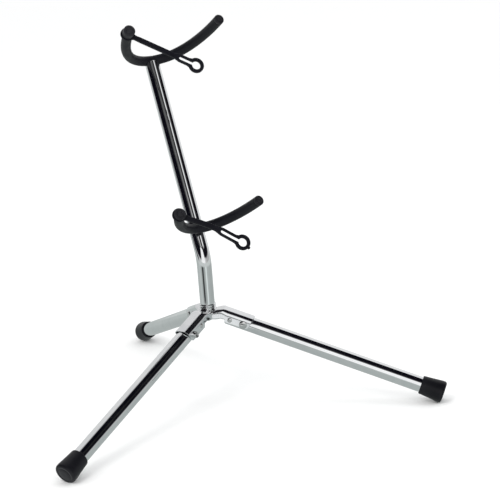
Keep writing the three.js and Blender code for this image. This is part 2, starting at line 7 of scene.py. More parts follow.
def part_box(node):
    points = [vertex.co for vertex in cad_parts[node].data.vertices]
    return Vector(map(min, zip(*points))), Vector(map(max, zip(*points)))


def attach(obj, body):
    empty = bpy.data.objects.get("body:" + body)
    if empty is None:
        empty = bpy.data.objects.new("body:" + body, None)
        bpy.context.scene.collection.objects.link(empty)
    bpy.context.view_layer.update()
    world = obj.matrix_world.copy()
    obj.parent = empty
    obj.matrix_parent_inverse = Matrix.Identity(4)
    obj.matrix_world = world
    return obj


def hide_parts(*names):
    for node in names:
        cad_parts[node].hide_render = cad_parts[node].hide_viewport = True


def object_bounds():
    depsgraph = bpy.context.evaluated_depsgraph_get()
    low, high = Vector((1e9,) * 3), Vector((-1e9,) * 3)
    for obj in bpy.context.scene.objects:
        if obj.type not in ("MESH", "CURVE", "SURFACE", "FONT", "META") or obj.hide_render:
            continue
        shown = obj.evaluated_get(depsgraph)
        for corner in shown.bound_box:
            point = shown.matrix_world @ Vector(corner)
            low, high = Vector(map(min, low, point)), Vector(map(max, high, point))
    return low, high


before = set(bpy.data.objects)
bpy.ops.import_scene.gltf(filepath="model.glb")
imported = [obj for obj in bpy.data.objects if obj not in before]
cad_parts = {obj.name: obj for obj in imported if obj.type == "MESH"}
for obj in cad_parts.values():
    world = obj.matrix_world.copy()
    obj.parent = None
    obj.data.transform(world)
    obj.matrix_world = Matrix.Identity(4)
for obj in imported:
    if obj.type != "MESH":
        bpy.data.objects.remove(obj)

cad_low, cad_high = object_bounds()

# ---------------------------------------------------------------- dimensions
# Millimetres, the same as in the CAD source.

GAP = 0.3
LEG_RADIUS, UPRIGHT_RADIUS, TUBE_WALL = 12.7, 12.2, 1.0
HUB_TURN, FRONT_SPREAD, LEG_SLOPE = -1.7, 113.0, math.radians(20.7)
LEG_REACH, PIVOT_REACH, STAY_REACH = 411.8, 65.0, 41.5
PIVOT_RADIUS, STAY_RADIUS, RIVET_TAIL = 4.0, 2.5, 6.5
SHEET, ARM_END, ARM_END_SLANT, ARM_CORNER, ROOT_CORNER = 1.2, 78.0, 5.0, 9.0, 5.0
ARM_HALF = LEG_RADIUS + GAP + SHEET
CHEEK_DEPTH, CHEEK_START, CHEEK_ROUND, ARM_HOLLOW_START = 8.0, 33.5, 4.0, 20.0
WEB_RIM = ((-1, 1.4), (14.5, 1.4), (17.5, 2.3), (20, 3.0), (23, 3.6), (26, 3.9), (29, 4.0))
SKIRT_RISE, SKIRT_PLACE, SKIRT_REACH = 1.6, 26, 7
BOSS_RADIUS, BOSS_TOP, BOSS_BOTTOM, BOSS_WEB = 15.0, -1.0, -13.0, 3.0
COLLAR_RADIUS, COLLAR_TOP, COLLAR_GROOVE = 14.0, 11.1, 0.9
BEND_HEIGHT, BEND_RADIUS, LEAN, UPRIGHT_TOP = 90.5, 69.0, math.radians(29.3), 347.2
CAP_LENGTH, CAP_DEPTH, CAP_MOUTH, CAP_END, CAP_ROUND = 39.5, 34.5, 15.2, 18.0, 4.0
COVER_RADIUS, SADDLE_GAP = 8.3, 0.5
STUD_RADIUS, STUD_HEAD_RADIUS, SHANK, CATCH_HEIGHT = 4.0, 9.6, 9.0, 3.6
STRAP_THICKNESS, STRAP_EYE, STRAP_WIDTH, STRAP_EDGE = 4.5, 11.3, 8.5, 1.0
LOOP_RADIUS, LOOP_HOLE, SLOT_WIDTH, SLOT_BAND, TAB_RADIUS = 12.8, 7.2, 5.2, 13.4, 2.2
SCREW_RADIUS, SCREW_HEAD, SCREW_HEIGHT, WASHER_RADIUS, WASHER = 2.0, 4.5, 3.0, 5.5, 1.0
SCREW_SINK, SCREW_LENGTH = 4.3, 38

YOKES = {
    "upper": dict(along=351.4, forward=0.0, half=77.3, depth=148.6, base=51.5, arm=64.6,
                  flare=math.radians(4.2), head=12.5),
    "lower": dict(along=44.5, forward=20.5, half=67.5, depth=111.2, base=34.0, arm=58.8,
                  flare=math.radians(9.4), head=4.5),
}
STRAPS = {
    "upper": dict(length=121.3, slot=91.0, swing=math.radians(-34.1), bow=0.0, tab=False),
    "lower": dict(length=110.0, slot=71.0, swing=math.radians(-33.9), bow=3.8, tab=True),
}

# -------------------------------------------------------------------- places

MM = Matrix.Scale(0.001, 4)
collar_low, collar_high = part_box("upright_collar")
HUB = Matrix.Translation((
    500 * (collar_low.x + collar_high.x),
    500 * (collar_low.y + collar_high.y),
    1000 * collar_low.z - BOSS_TOP - GAP))
TILT = HUB @ Matrix.Translation((0, 0, BEND_HEIGHT)) @ Matrix.Rotation(-LEAN, 4, "X")
LEGS = {
    name: HUB @ Matrix.Rotation(math.radians(angle), 4, "Z") @ Matrix.Rotation(LEG_SLOPE, 4, "Y")
    for name, angle in (
        ("front_left", 270 + HUB_TURN - FRONT_SPREAD / 2),
        ("front_right", 270 + HUB_TURN + FRONT_SPREAD / 2),
        ("rear", 90 + HUB_TURN))
}
ACROSS_LEG = Matrix(((1, 0, 0, 0), (0, 0, -1, 0), (0, 1, 0, 0), (0, 0, 0, 1)))
QUARTER = math.pi / 2


def stud_place(yoke):
    """z runs forwards out of the yoke's left tip; z = 0 is the back of the stud's head."""
    return (TILT @ Matrix.Translation((-yoke["half"], -yoke["forward"] - yoke["depth"] + yoke["head"],
                                       yoke["along"]))
            @ Matrix.Rotation(QUARTER, 4, "X"))


def catch_place(yoke):
    """z runs forwards out of the yoke's right tip; z = 0 is the back of the button's head."""
    return (TILT @ Matrix.Translation((yoke["half"], -yoke["forward"] - yoke["depth"], yoke["along"]))
            @ Matrix.Rotation(yoke["flare"], 4, "Z") @ Matrix.Rotation(QUARTER, 4, "X")
            @ Matrix.Translation((0, 0, GAP - CATCH_HEIGHT)))


# -------------------------------------------------------------------- camera

CAMERA_OFFSET = Vector((-914.3, -2439.5, 806.6))      # from the hub, millimetres
CAMERA_RIGHT = Vector((0.91541, -0.39583, -0.07303))
CAMERA_UP = Vector((0.16936, 0.21417, 0.96200))
CAMERA_LENS, SENSOR_WIDTH = 118.1, 36
VIEW = CAMERA_UP.cross(CAMERA_RIGHT)


def make_camera():
    data = bpy.data.cameras.new("camera")
    data.lens, data.sensor_width = CAMERA_LENS, SENSOR_WIDTH
    data.clip_start, data.clip_end = 0.05, 60
    camera = bpy.data.objects.new("camera", data)
    bpy.context.scene.collection.objects.link(camera)
    back = CAMERA_RIGHT.cross(CAMERA_UP)
    turn = Matrix((CAMERA_RIGHT, CAMERA_UP, back)).transposed().to_4x4()
    place = MM @ HUB @ CAMERA_OFFSET
    camera.matrix_world = Matrix.Translation(place) @ turn
    bpy.context.scene.camera = camera


make_camera()

# ----------------------------------------------------------------- materials


class Nodes:
    """A short way to write a node tree."""

    def __init__(self, tree):
        self.tree = tree
        tree.nodes.clear()

    def add(self, kind, inputs=None, **settings):
        node = self.tree.nodes.new(kind)
        for key, value in settings.items():
            setattr(node, key, value)
        for key, value in (inputs or {}).items():
            if isinstance(value, bpy.types.NodeSocket):
                self.tree.links.new(value, node.inputs[key])
            else:
                node.inputs[key].default_value = value
        return node


def new_material(name):
    material = bpy.data.materials.new(name)
    material.use_nodes = True
    return material, Nodes(material.node_tree)


def noise(n, coords, scale, detail=3.0, rough=0.5, distortion=0.0):
    return n.add("ShaderNodeTexNoise", {
        "Vector": coords, "Scale": scale, "Detail": detail, "Roughness": rough,
        "Distortion": distortion}).outputs["Fac"]


def remap(n, value, low, high, to_low, to_high):
    return n.add("ShaderNodeMapRange", {
        "Value": value, "From Min": low, "From Max": high, "To Min": to_low, "To Max": to_high,
    }).outputs["Result"]


def ramp(n, value, stops):
    node = n.add("ShaderNodeValToRGB", {"Fac": value})
    elements = node.color_ramp.elements
    while len(elements) < len(stops):
        elements.new(0.5)
    for element, (place, color) in zip(elements, stops):
        element.position = place
        element.color = (*color, 1)
    return node.outputs["Color"]


def metal(name, bright, dull, polish, haze, wave):
    """Plated or plain metal: smudges change its polish, fine scratches and a slight wave its surface."""
    material, n = new_material(name)
    coords = n.add("ShaderNodeTexCoord").outputs["Object"]
    smudge = noise(n, coords, 26, 5, 0.6, 0.6)
    specks = noise(n, coords, 420, 2, 0.6)
    stretched = n.add("ShaderNodeMapping", {"Vector": coords, "Scale": (900, 900, 60)}).outputs["Vector"]
    scratches = noise(n, stretched, 1, 2, 0.7)
    color = ramp(n, smudge, [(0.36, dull), (0.62, bright)])
    soft = remap(n, smudge, 0.42, 0.75, polish, haze)
    roughness = n.add("ShaderNodeMath", {
        0: soft, 1: remap(n, specks, 0.66, 0.8, 0.0, haze * 0.7)}, operation="ADD").outputs[0]
    waves = n.add("ShaderNodeBump", {
        "Height": noise(n, coords, 30, 1, 0.4), "Strength": wave, "Distance": 0.0012}).outputs["Normal"]
    fine = n.add("ShaderNodeBump", {
        "Height": scratches, "Strength": 0.05, "Distance": 0.00002, "Normal": waves}).outputs["Normal"]
    shader = n.add("ShaderNodeBsdfPrincipled", {
        "Base Color": color, "Metallic": 1.0, "Roughness": roughness, "Normal": fine})
    n.add("ShaderNodeOutputMaterial", {"Surface": shader.outputs["BSDF"]})
    return material


def rubber(name, dark, light, low, high, grain, strength):
    """Moulded rubber or plastic: a fine grain, faint cloudy dust and rubbed patches."""
    material, n = new_material(name)
    coords = n.add("ShaderNodeTexCoord").outputs["Object"]
    cloud = noise(n, coords, 34, 4, 0.6, 0.4)
    fine = noise(n, coords, grain, 3, 0.6)
    pits = n.add("ShaderNodeTexVoronoi", {"Vector": coords, "Scale": grain * 0.6}).outputs["Distance"]
    color = ramp(n, cloud, [(0.35, dark), (0.7, light)])
    roughness = remap(n, cloud, 0.3, 0.72, low, high)
    base = n.add("ShaderNodeBump", {
        "Height": pits, "Strength": strength * 0.5, "Distance": 0.00008}).outputs["Normal"]
    normal = n.add("ShaderNodeBump", {
        "Height": fine, "Strength": strength, "Distance": 0.0001, "Normal": base}).outputs["Normal"]
    shader = n.add("ShaderNodeBsdfPrincipled", {
        "Base Color": color, "Roughness": roughness, "Normal": normal, "Specular IOR Level": 0.22})
    n.add("ShaderNodeOutputMaterial", {"Surface": shader.outputs["BSDF"]})
    return material


CHROME = metal("chrome_plate", (0.90, 0.91, 0.92), (0.84, 0.855, 0.87), 0.035, 0.10, 0.05)
PRESSED = metal("pressed_chrome", (0.88, 0.89, 0.905), (0.80, 0.815, 0.835), 0.06, 0.15, 0.14)
PLATED = metal("bright_nickel", (0.80, 0.80, 0.80), (0.68, 0.685, 0.69), 0.12, 0.26, 0.10)
STEEL = metal("plain_steel", (0.52, 0.52, 0.53), (0.38, 0.38, 0.39), 0.28, 0.46, 0.10)
RUBBER = rubber("black_rubber", (0.0042, 0.0044, 0.0072), (0.0085, 0.0088, 0.0135),
                0.40, 0.58, 2600, 0.30)
STRAP_RUBBER = rubber("strap_rubber", (0.0038, 0.0038, 0.0070), (0.0078, 0.0078, 0.0130),
                      0.36, 0.52, 3000, 0.18)
CAP_RUBBER = rubber("cap_rubber", (0.0042, 0.0044, 0.0066), (0.0090, 0.0092, 0.0128),
                    0.34, 0.50, 1900, 0.28)
PLASTIC = rubber("black_plastic", (0.0120, 0.0120, 0.0150), (0.0220, 0.0220, 0.0260),
                 0.30, 0.44, 3400, 0.12)

# -------------------------------------------------------------- mesh helpers

SHARP, SOFT = math.radians(32), math.radians(50)      # edges sharper than this stay crisp


def finish_mesh(name, vertices, faces, matrix, sharp=SHARP):
    """A mesh object from millimetre vertices in a place's own frame."""
    mesh = bpy.data.meshes.new(name)
    mesh.from_pydata([tuple(v) for v in vertices], [], faces)
    mesh.transform(MM @ matrix)
    mesh.validate()
    outward(mesh)
    mesh.shade_smooth()
    mesh.set_sharp_from_angle(angle=sharp)
    made = bpy.data.objects.new(name, mesh)
    bpy.context.scene.collection.objects.link(made)
    return made


def outward(mesh):
    """Turns an inside-out closed mesh the right way round."""
    mesh.calc_loop_triangles()
    points = [v.co for v in mesh.vertices]
    volume = sum(points[a].dot(points[b].cross(points[c]))
                 for a, b, c in (t.vertices for t in mesh.loop_triangles))
    if volume < 0:
        mesh.flip_normals()


def publish(made, body, material, slot, *nodes):
    """Gives a piece its material, hangs it on the body it rides on and hides the CAD nodes it stands for."""
    made.data.materials.clear()
    made.data.materials.append(material)
    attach(made, body)
    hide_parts(*nodes)


def skin(rings, closed=False):
    """Vertices and faces of a skin over rings of equal length; a closed skin joins last to first."""
    count = len(rings[0])
    vertices = [v for ring in rings for v in ring]
    faces = []
    pairs = len(rings) if closed else len(rings) - 1
    for i in range(pairs):
        here, there = i * count, (i + 1) % len(rings) * count
        for j in range(count):
            k = (j + 1) % count
            faces.append((here + j, here + k, there + k, there + j))
    if not closed:
        faces.append(tuple(reversed(range(count))))
        faces.append(tuple((len(rings) - 1) * count + j for j in range(count)))
    return vertices, faces


def lathe(name, profile, matrix, segments=96, sharp=SHARP):
    """A body turned about z from (radius, height) pairs; the first and last may lie on the axis."""
    vertices, faces, rings = [], [], []
    for r, z in profile:
        if r < 1e-6:
            rings.append([len(vertices)] * segments)
            vertices.append((0, 0, z))
            continue
        rings.append(list(range(len(vertices), len(vertices) + segments)))
        for j in range(segments):
            angle = 2 * math.pi * j / segments
            vertices.append((r * math.cos(angle), r * math.sin(angle), z))
    closed = profile[0][0] > 1e-6
    for i in range(len(rings) if closed else len(rings) - 1):
        low, high = rings[i], rings[(i + 1) % len(rings)]
        for j in range(segments):
            k = (j + 1) % segments
            face = []
            for index in (low[j], low[k], high[k], high[j]):
                if index not in face:
                    face.append(index)
            if len(face) > 2:
                faces.append(tuple(face))
    return finish_mesh(name, vertices, faces, matrix, sharp)


def arc(cx, cy, radius, start, end, steps):
    """Points on a circle's arc, both ends included."""
    return [(cx + radius * math.cos(start + (end - start) * i / steps),
             cy + radius * math.sin(start + (end - start) * i / steps)) for i in range(steps + 1)]


def soften(points, radius, steps=4, skip=()):
    """The outline with each corner swapped for a small curve; the first and last points stay."""
    made = [points[0]]
    for i in range(1, len(points) - 1):
        if i in skip:
            made.append(points[i])
            continue
        here, before, after = (Vector(points[j]) for j in (i, i - 1, i + 1))
        reach = min(radius, (before - here).length * 0.45, (after - here).length * 0.45)
        a = here + (before - here).normalized() * reach
        b = here + (after - here).normalized() * reach
        for s in range(steps + 1):
            t = s / steps
            made.append(tuple((1 - t) ** 2 * a + 2 * t * (1 - t) * here + t * t * b))
    made.append(points[-1])
    return made


def prism(name, outline, low, high, matrix):
    """A straight-sided body over an outline, between two heights."""
    rings = [[(x, y, low) for x, y in outline], [(x, y, high) for x, y in outline]]
    vertices, faces = skin(rings)
    return finish_mesh(name, vertices, faces, matrix)


def circle(radius, segments, cx=0.0, cy=0.0):
    return arc(cx, cy, radius, 0, 2 * math.pi, segments)[:-1]


def combine(body, tool, operation):
    """Joins, cuts or overlaps `body` with `tool`, and removes the tool."""
    modifier = body.modifiers.new("combine", "BOOLEAN")
    modifier.object, modifier.operation, modifier.solver = tool, operation, "MANIFOLD"
    bake(body)
    bpy.data.objects.remove(tool)


def bake(made):
    """Puts the object's modifiers into its mesh."""
    graph = bpy.context.evaluated_depsgraph_get()
    mesh = bpy.data.meshes.new_from_object(made.evaluated_get(graph))
    made.modifiers.clear()
    old, made.data = made.data, mesh
    mesh.name = made.name
    if isinstance(old, bpy.types.Mesh):
        bpy.data.meshes.remove(old)


def bevel(made, width, segments=2, angle=40):
    """Softens edges by a width in millimetres."""
    modifier = made.modifiers.new("edges", "BEVEL")
    modifier.width, modifier.segments = width * 0.001, segments
    modifier.limit_method, modifier.angle_limit = "ANGLE", math.radians(angle)
    modifier.miter_outer = "MITER_ARC"


# ------------------------------------------------------------------- upright


def upright_path():
    """Points, directions and sideways vectors of the upright's axis up to the foot of the notch."""
    reach = BEND_RADIUS * math.tan(LEAN / 2)
    straight = BEND_HEIGHT - reach
    points = [(Vector((0, 0, z)), Vector((0, 0, 1)))
              for z in (BOSS_TOP + GAP, BOSS_TOP + GAP + 0.4, 20, straight)]
    for i in range(1, 41):
        a = LEAN * i / 40
        points.append((Vector((0, BEND_RADIUS * (1 - math.cos(a)), straight + BEND_RADIUS * math.sin(a))),
                       Vector((0, math.sin(a), math.cos(a)))))
    up = Vector((0, math.sin(LEAN), math.cos(LEAN)))
    corner = Vector((0, 0, BEND_HEIGHT))
    for along in (reach + 12, 120, 200, 280, 330):
        points.append((corner + up * along, up))
    return points, corner, up


def bezier(yoke, t):
    """The yoke's arm: distance to the side and forwards, from the base at 0 to the tip at 1."""
    p = [(0, 0), (yoke["base"], 0),
         (yoke["half"] - yoke["arm"] * math.sin(yoke["flare"]),
          yoke["depth"] - yoke["arm"] * math.cos(yoke["flare"])),
         (yoke["half"], yoke["depth"])]
    u = 1 - t
    w = (u ** 3, 3 * u * u * t, 3 * u * t * t, t ** 3)
    return Vector((sum(a * q[0] for a, q in zip(w, p)), sum(a * q[1] for a, q in zip(w, p))))


def bezier_where(yoke, axis, value):
    """How far along the arm one coordinate reaches a value, by halving."""
    low, high = 0.0, 1.0
    for _ in range(40):
        middle = (low + high) / 2
        if bezier(yoke, middle)[axis] < value:
            low = middle
        else:
            high = middle
    return low


def notch_height(x, y):
    """Height of the tube's top edge, which is notched for the yoke that lies across it."""
    yoke = YOKES["upper"]
    off = y + bezier(yoke, bezier_where(yoke, 0, abs(x))).y
    r = COVER_RADIUS + SADDLE_GAP
    if abs(off) >= r:
        return UPRIGHT_TOP
    return min(UPRIGHT_TOP, yoke["along"] - math.sqrt(r * r - off * off))


def make_upright():
    points, corner, up = upright_path()
    segments = 128
    side = Vector((1, 0, 0))
    lip = 0.3

    def ring(centre, direction, radius):
        front = direction.cross(side)
        return [centre + side * radius * math.cos(a) + front * radius * math.sin(a)
                for a in (2 * math.pi * j / segments for j in range(segments))]

    def top_ring(radius, drop):
        front = up.cross(side)
        made = []
        for j in range(segments):
            a = 2 * math.pi * j / segments
            x, y = radius * math.cos(a), radius * math.sin(a)
            made.append(corner + side * x + front * y + up * (notch_height(x, y) - drop))
        return made

    inner = UPRIGHT_RADIUS - TUBE_WALL
    rings = [ring(c, d, UPRIGHT_RADIUS) for c, d in points]
    rings += [top_ring(UPRIGHT_RADIUS, lip), top_ring(UPRIGHT_RADIUS - lip, 0), top_ring(inner + lip, 0),
              top_ring(inner, lip)]
    rings += [ring(c, d, inner) for c, d in reversed(points)]
    vertices, faces = skin(rings, closed=True)
    made = finish_mesh("upright", vertices, faces, HUB)
    publish(made, "stand", CHROME, "chrome", "upright_tube")


def make_collar():
    bore, low, r = UPRIGHT_RADIUS + 0.05, BOSS_TOP + GAP, COLLAR_RADIUS
    outline = [(bore, low)]
    for start, end in ((low, low + 3.5), (low + 4.9, low + 7.9), (low + 9.3, COLLAR_TOP)):
        outline += [(r - COLLAR_GROOVE * abs(2 * i / 10 - 1) ** 2.4, start + (end - start) * i / 10)
                    for i in range(11)]
    outline += [(bore, COLLAR_TOP)]
    made = lathe("collar", outline, HUB, 128)
    publish(made, "stand", CHROME, "chrome", "upright_collar")


# ----------------------------------------------------------------------- hub


def arm_section(half, top, corner, bottom):
    """Half-width, top, corner radius and lower edge of an arm's upside-down U."""
    inset = half - corner
    return ([(half, bottom + (top - corner - bottom) * i / 4) for i in range(4)]
            + arc(inset, top - corner, corner, 0, QUARTER, 14)
            + arc(-inset, top - corner, corner, QUARTER, math.pi, 14)
            + [(-half, top - corner + (bottom - top + corner) * i / 4) for i in range(1, 5)])


def web_height(x):
    """Height of an arm's web over the leg's axis: flat round the collar, then down the leg."""
    down, along = math.sin(LEG_SLOPE), math.cos(LEG_SLOPE)
    slope = [(r * along - z * down, r * down + z * along) for r, z in WEB_RIM]
    slope += [(34.0, ARM_HALF - 0.15), (40.0, ARM_HALF), (2 * ARM_END, ARM_HALF)]
    for (x0, z0), (x1, z1) in zip(slope, slope[1:]):
        if x <= x1:
            return z0 + (z1 - z0) * max(0.0, (x - x0) / (x1 - x0))
    return ARM_HALF


def cheek_edge(x):
    """Height of the lower edge of an arm's cheeks over the leg's axis."""
    low, end = -CHEEK_DEPTH, ARM_END - ARM_END_SLANT
    if x < CHEEK_START:
        flat = (BOSS_BOTTOM + x * math.sin(LEG_SLOPE)) / math.cos(LEG_SLOPE)
        return flat + SKIRT_RISE * max(0.0, 1 - abs(x - SKIRT_PLACE) / SKIRT_REACH) ** 2
    if x < CHEEK_START + CHEEK_ROUND:
        return low + CHEEK_ROUND - math.sqrt(CHEEK_ROUND ** 2 - (CHEEK_START + CHEEK_ROUND - x) ** 2)
    if x > end - CHEEK_ROUND:
        return low + CHEEK_ROUND - math.sqrt(max(0, CHEEK_ROUND ** 2 - (x - end + CHEEK_ROUND) ** 2))
    return low


def arm_loft(name, place, stations, inset, lower):
    """An arm's outside, or with `inset` the hollow that leaves a wall of that thickness."""
    half = ARM_HALF - inset
    rings = []
    for x in stations:
        top = web_height(x) - inset
        outwards = min(max(x, BOSS_RADIUS), CHEEK_START) - BOSS_RADIUS
        outwards /= CHEEK_START - BOSS_RADIUS
        rounding = ROOT_CORNER + (ARM_CORNER - ROOT_CORNER) * outwards
        corner = min(rounding - inset, top - lower(x) - 1.0)
        ring = []
        lean = 0 if inset else ARM_END_SLANT * max(0.0, (x - CHEEK_START) / (ARM_END - CHEEK_START))
        for y, z in arm_section(half, top, corner, lower(x)):
            ring.append((x - lean * (ARM_HALF - z) / (ARM_HALF + CHEEK_DEPTH), y, z))
        rings.append(ring)
    vertices, faces = skin(rings)
    return finish_mesh(name, vertices, faces, place)


def make_arm(place):
    root = [0, 6, 12, 14, 16, 18, 20, 22, 24, 26, 28, 30, 32, CHEEK_START]
    corner = [CHEEK_START + 0.01 + CHEEK_ROUND * (1 - math.cos(QUARTER * i / 8)) for i in range(9)]
    run = [42, 48, 54, 60, 66]
    end = [ARM_END - CHEEK_ROUND * (1 - math.sin(QUARTER * i / 8)) for i in range(9)]
    stations = root + corner + run + end

    def lower(x):
        return cheek_edge(x if x < 50 else x - ARM_END_SLANT)

    return arm_loft("arm", place, stations, 0, lower)


def make_hollow(place):
    """The room inside an arm, open below."""
    stations = [ARM_HOLLOW_START, 22, 24, 26, 28, 30, 32, 36, 40, 50, 60, 70, ARM_END + 2]
    return arm_loft("hollow", place, stations, SHEET, lambda x: -4 * CHEEK_DEPTH)


def make_hub():
    skirt_round = 2.5
    outside = soften([(0, BOSS_BOTTOM), (BOSS_RADIUS, BOSS_BOTTOM), (BOSS_RADIUS, BOSS_TOP),
                      (0, BOSS_TOP)], 0.8, 4)
    body = lathe("hub", outside, HUB, 96)
    for place in LEGS.values():
        combine(body, make_arm(place), "UNION")
    under = BOSS_TOP - BOSS_WEB
    room_radius = COLLAR_RADIUS + GAP
    room = lathe("room", [(0, BOSS_TOP), (room_radius, BOSS_TOP), (room_radius, 40), (0, 40)], HUB, 96)
    combine(body, room, "DIFFERENCE")
    cup = lathe("cup", [(0, BOSS_BOTTOM - 1), (BOSS_RADIUS - SHEET, BOSS_BOTTOM - 1),
                        (BOSS_RADIUS - SHEET, under - skirt_round)]
                + arc(BOSS_RADIUS - SHEET - skirt_round, under - skirt_round, skirt_round, 0, QUARTER, 8)
                + [(0, under)], HUB, 96)
    combine(body, cup, "DIFFERENCE")
    for place in LEGS.values():
        combine(body, make_hollow(place), "DIFFERENCE")
    body.data.shade_smooth()
    bevel(body, 0.32, 3, 38)
    bake(body)
    body.data.shade_smooth()
    body.data.set_sharp_from_angle(angle=math.radians(30))
    publish(body, "stand", PRESSED, "chrome", "hub_spider")


def make_rivets(name, place):
    turn = QUARTER if name == "rear" else -QUARTER
    across = place @ Matrix.Translation((PIVOT_REACH, 0, 0)) @ Matrix.Rotation(turn, 4, "X")
    face = ARM_HALF
    head, rim, rise = 6.8, 0.5, 1.7             # the domed head
    bore, roll, roll_edge = 2.4, 5.4, 1.1       # the hollow tail, rolled outwards
    tail = face + GAP + RIVET_TAIL
    dome = [(head * math.sin(a), -face - rim - rise * math.cos(a))
            for a in (QUARTER * i / 10 for i in range(1, 11))]
    outline = ([(0, -face - rim - rise)] + dome + [(head, -face), (PIVOT_RADIUS, -face)]
               + [(PIVOT_RADIUS, face), (roll, face), (roll, tail - 1.0)]
               + arc(roll - roll_edge, tail - roll_edge, roll_edge, 0, math.pi * 0.9, 10)
               + [(bore, tail - 1.6), (bore, face - 6), (0, face - 6.4)])
    rivet = lathe("rivet_" + name, outline, across, 64)
    publish(rivet, "stand", PLATED, "plated_steel", "leg_rivet_" + name)
    small = place @ Matrix.Translation((STAY_REACH, 0, 0)) @ Matrix.Rotation(-QUARTER, 4, "X")
    head, rim, rise = 4.0, 0.35, 1.4            # a domed head at each end
    dome = [(head * math.sin(a), rim + rise * math.cos(a)) for a in (QUARTER * i / 8 for i in range(1, 9))]
    outline = ([(0, -face - rim - rise)] + [(r, -face - h) for r, h in dome]
               + [(head, -face), (STAY_RADIUS, -face), (STAY_RADIUS, face), (head, face)]
               + [(r, face + h) for r, h in reversed(dome)] + [(0, face + rim + rise)])
    stay = lathe("stay_" + name, outline, small, 48)
    publish(stay, "stand", PLATED, "plated_steel", "arm_stay_" + name)


# ---------------------------------------------------------------------- legs


def make_leg(name, place):
    segments = 128
    end = LEG_REACH - (CAP_LENGTH - CAP_DEPTH) - GAP
    rim = 0.25
    inner = LEG_RADIUS - TUBE_WALL

    def ring(radius, x_of):
        made = []
        for j in range(segments):
            a = 2 * math.pi * j / segments
            y, z = radius * math.cos(a), radius * math.sin(a)
            made.append((x_of(y, z), y, z))
        return made

    def round_end(back):
        def x_of(y, z):
            barrel = LEG_RADIUS * (0.5 + 0.5 * math.sqrt(max(1 - (y / LEG_RADIUS) ** 2, 0)))
            return PIVOT_REACH - math.sqrt(max(barrel ** 2 - z * z, 0.0)) + back
        return x_of

    rings = [ring(LEG_RADIUS, round_end(rim))]
    rings += [ring(LEG_RADIUS, lambda y, z, x=x: x) for x in (90, 150, 220, 290, 350, end)]
    rings += [ring(inner, lambda y, z, x=x: x) for x in (end, 220, 90)]
    rings += [ring(inner, round_end(rim)), ring(inner + rim, round_end(0)),
              ring(LEG_RADIUS - rim, round_end(0))]
    vertices, faces = skin(rings, closed=True)
    tube = finish_mesh("leg_" + name, [(x, -y, z) for x, y, z in vertices], faces, place)
    publish(tube, "leg_" + name, CHROME, "chrome", "leg_tube_" + name)


def make_cap(name, place):
    """A rubber foot cap, with the part below the floor pressed flat."""
    mouth, bore = LEG_REACH - CAP_LENGTH, LEG_RADIUS + 0.05
    at = CAP_END - CAP_ROUND
    edge = 0.9
    lip = arc(CAP_MOUTH - edge, mouth + edge, edge, -QUARTER, 0, 6)
    wall = [(CAP_MOUTH + (CAP_END - CAP_MOUTH) * (i / 8) ** 1.15,
             mouth + edge + (CAP_LENGTH - 8 - edge) * i / 8) for i in range(1, 9)]
    end = arc(at, LEG_REACH - CAP_ROUND, CAP_ROUND, 0, QUARTER, 12)
    groove = LEG_REACH - 0.35
    face = [(at - 1.6, LEG_REACH), (at - 2.2, groove), (at - 2.8, groove), (at - 3.4, LEG_REACH),
            (3, LEG_REACH), (0, LEG_REACH)]
    profile = ([(0, mouth + CAP_DEPTH), (bore - 0.6, mouth + CAP_DEPTH), (bore, mouth + CAP_DEPTH - 0.6)]
               + [(bore, mouth + 0.4), (bore + 0.4, mouth)] + lip + wall + end + face)
    cap = lathe("cap_" + name, profile, place @ Matrix.Rotation(QUARTER, 4, "Y"), 128)
    for vertex in cap.data.vertices:
        vertex.co.z = max(vertex.co.z, cad_low.z)
    publish(cap, "leg_" + name, CAP_RUBBER, "black_rubber", "foot_cap_" + name)


# --------------------------------------------------------------------- yokes


def make_cover(level, yoke):
    segments, steps = 72, 120
    inset = yoke["head"] + STRAP_THICKNESS + 2 * GAP
    left = -bezier_where(yoke, 1, yoke["depth"] - inset)
    right = bezier_where(yoke, 1, yoke["depth"] - CATCH_HEIGHT)
    rings = []
    up = Vector((0, 0, 1))

    def centre(t):
        p = bezier(yoke, abs(t))
        return Vector((math.copysign(p.x, t), -yoke["forward"] - p.y, yoke["along"]))

    def ring(t, radius, push):
        step = 1e-4
        direction = (centre(t + step) - centre(t - step)).normalized()
        side = direction.cross(up)
        middle = centre(t) + direction * push
        return [middle + side * radius * math.cos(a) + up * radius * math.sin(a)
                for a in (2 * math.pi * j / segments for j in range(segments))]

    edge = 1.1
    for r, h in reversed(arc(COVER_RADIUS - edge, -edge, edge, 0, QUARTER, 6)):
        rings.append(ring(left, r, -h))
    for i in range(1, steps):
        t = left + (right - left) * i / steps
        rings.append(ring(t, COVER_RADIUS, 0))
    for r, h in arc(COVER_RADIUS - edge, -edge, edge, 0, QUARTER, 6):
        rings.append(ring(right, r, h))
    vertices, faces = skin(rings)
    cover = finish_mesh(level + "_cover", vertices, faces, TILT)
    if level == "upper":
        seat = yoke["along"] + COVER_RADIUS - SCREW_SINK
        room = WASHER_RADIUS + GAP
        pocket = lathe("pocket", [(0, seat), (room, seat), (room, seat + 20), (0, seat + 20)], TILT, 48)
        combine(cover, pocket, "DIFFERENCE")
        cover.data.shade_smooth()
        cover.data.set_sharp_from_angle(angle=SHARP)
    publish(cover, "stand", RUBBER, "black_rubber", level + "_yoke_cover")


